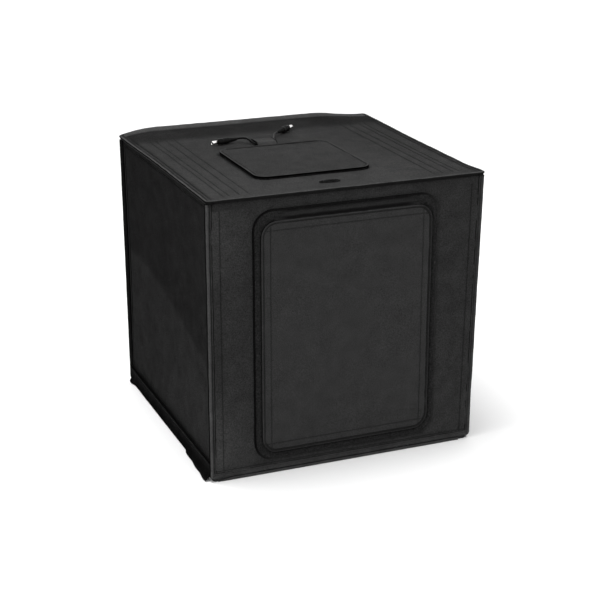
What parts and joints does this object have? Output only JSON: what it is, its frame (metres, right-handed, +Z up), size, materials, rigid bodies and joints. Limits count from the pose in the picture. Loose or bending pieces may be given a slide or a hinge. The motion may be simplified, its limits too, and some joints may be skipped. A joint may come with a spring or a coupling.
{
  "type": "printer enclosure tent",
  "caption": "Folding black fabric enclosure cube with a lift-up front door, a roof hatch, a cable port with plugged leads, a silver lining and light bars under the roof.",
  "frame": {"origin": "centre of the base, on the surface that the tent stands on", "axes": "+Z up, -Y towards the door, +X to the right seen from the door"},
  "size_m": [0.4, 0.403, 0.4101],
  "materials": {
    "black_fabric": "black coated Oxford cloth with a fine leathery grain and a low sheen",
    "pp_board": "dark twin-wall plastic stiffener",
    "silver_lining": "crinkled silver reflective cloth",
    "loop_tape": "matte black fuzzy loop tape",
    "hook_tape": "matte black hook tape",
    "bar_aluminium": "satin extruded aluminium",
    "diffuser": "frosted white plastic",
    "led_board": "white circuit strip with light chips",
    "cap_plastic": "black moulded end cap",
    "cord_rubber": "satin black moulded sheath",
    "plug_metal": "bright nickel plating"
  },
  "bodies": {
    "floor": {"floor_board": "pp_board", "floor_skin": "black_fabric", "floor_lining": "silver_lining", "left_base_flap": "black_fabric", "right_base_flap": "black_fabric"},
    "left_lower": {"left_lower_board": "pp_board", "left_lower_skin": "black_fabric", "left_lower_lining": "silver_lining"},
    "left_upper": {"left_upper_board": "pp_board", "left_upper_skin": "black_fabric", "left_upper_lining": "silver_lining"},
    "roof": {"roof_board": "pp_board", "roof_skin": "black_fabric", "roof_lining": "silver_lining", "hatch_loop_frame": "loop_tape", "keeper_patch": "loop_tape", "cable_port_tab": "black_fabric", "left_bar_channel": "bar_aluminium", "left_bar_led_strip": "led_board", "left_bar_diffuser": "diffuser", "left_bar_tape": "hook_tape", "left_bar_front_cap": "cap_plastic", "left_bar_rear_cap": "cap_plastic", "left_bar_lead": "cord_rubber", "left_lead_keeper": "black_fabric", "left_lead": "cord_rubber", "left_plug_body": "cord_rubber", "left_plug_barrel": "plug_metal", "right_bar_channel": "bar_aluminium", "right_bar_led_strip": "led_board", "right_bar_diffuser": "diffuser", "right_bar_tape": "hook_tape", "right_bar_front_cap": "cap_plastic", "right_bar_rear_cap": "cap_plastic", "right_bar_lead": "cord_rubber", "right_lead_keeper": "black_fabric", "right_lead": "cord_rubber", "right_plug_body": "cord_rubber", "right_plug_barrel": "plug_metal"},
    "right_upper": {"right_upper_board": "pp_board", "right_upper_skin": "black_fabric", "right_upper_lining": "silver_lining"},
    "right_lower": {"right_lower_board": "pp_board", "right_lower_skin": "black_fabric", "right_lower_lining": "silver_lining"},
    "front_wall": {"front_board": "pp_board", "front_skin": "black_fabric", "front_lining": "silver_lining", "door_loop_frame": "loop_tape"},
    "back_wall": {"back_board": "pp_board", "back_skin": "black_fabric", "back_lining": "silver_lining"},
    "door": {"door_board": "pp_board", "door_skin": "black_fabric", "door_lining": "silver_lining", "door_hook_tape": "hook_tape"},
    "hatch": {"hatch_board": "pp_board", "hatch_skin": "black_fabric", "hatch_lining": "silver_lining", "hatch_hook_tape": "hook_tape"}
  },
  "joints": [
    {"name": "fold", "type": "hinge", "parent": "floor", "child": "left_lower", "pos_m": [-0.1915, 0, 0.00515], "axis": [0, 1, 0], "range_deg": [0, 70]},
    {"name": "left_mid", "type": "hinge", "parent": "left_lower", "child": "left_upper", "pos_m": [-0.1965, 0, 0.2], "axis": [0, 1, 0], "range_deg": [-140, 0]},
    {"name": "left_top", "type": "hinge", "parent": "left_upper", "child": "roof", "pos_m": [-0.1915, 0, 0.39485], "axis": [0, 1, 0], "range_deg": [0, 70]},
    {"name": "right_top", "type": "hinge", "parent": "roof", "child": "right_upper", "pos_m": [0.1915, 0, 0.39485], "axis": [0, 1, 0], "range_deg": [0, 70]},
    {"name": "right_mid", "type": "hinge", "parent": "right_upper", "child": "right_lower", "pos_m": [0.1965, 0, 0.2], "axis": [0, 1, 0], "range_deg": [-140, 0]},
    {"name": "front_flare", "type": "hinge", "parent": "roof", "child": "front_wall", "pos_m": [0, -0.198, 0.39485], "axis": [1, 0, 0], "range_deg": [-70, 0]},
    {"name": "back_flare", "type": "hinge", "parent": "roof", "child": "back_wall", "pos_m": [0, 0.198, 0.39485], "axis": [1, 0, 0], "range_deg": [0, 70]},
    {"name": "door_hinge", "type": "hinge", "parent": "front_wall", "child": "door", "pos_m": [0, -0.2015, 0.36415], "axis": [-1, 0, 0], "range_deg": [0, 170]},
    {"name": "hatch_hinge", "type": "hinge", "parent": "roof", "child": "hatch", "pos_m": [-0.016, 0.04415, 0.4039], "axis": [-1, 0, 0], "range_deg": [0, 140]}
  ],
  "couplings": [
    {"joint": "left_mid", "follows": "fold", "ratio": -2},
    {"joint": "left_top", "follows": "fold", "ratio": 1},
    {"joint": "right_top", "follows": "fold", "ratio": 1},
    {"joint": "right_mid", "follows": "fold", "ratio": -2},
    {"joint": "front_flare", "follows": "fold", "ratio": -1},
    {"joint": "back_flare", "follows": "fold", "ratio": 1}
  ]
}
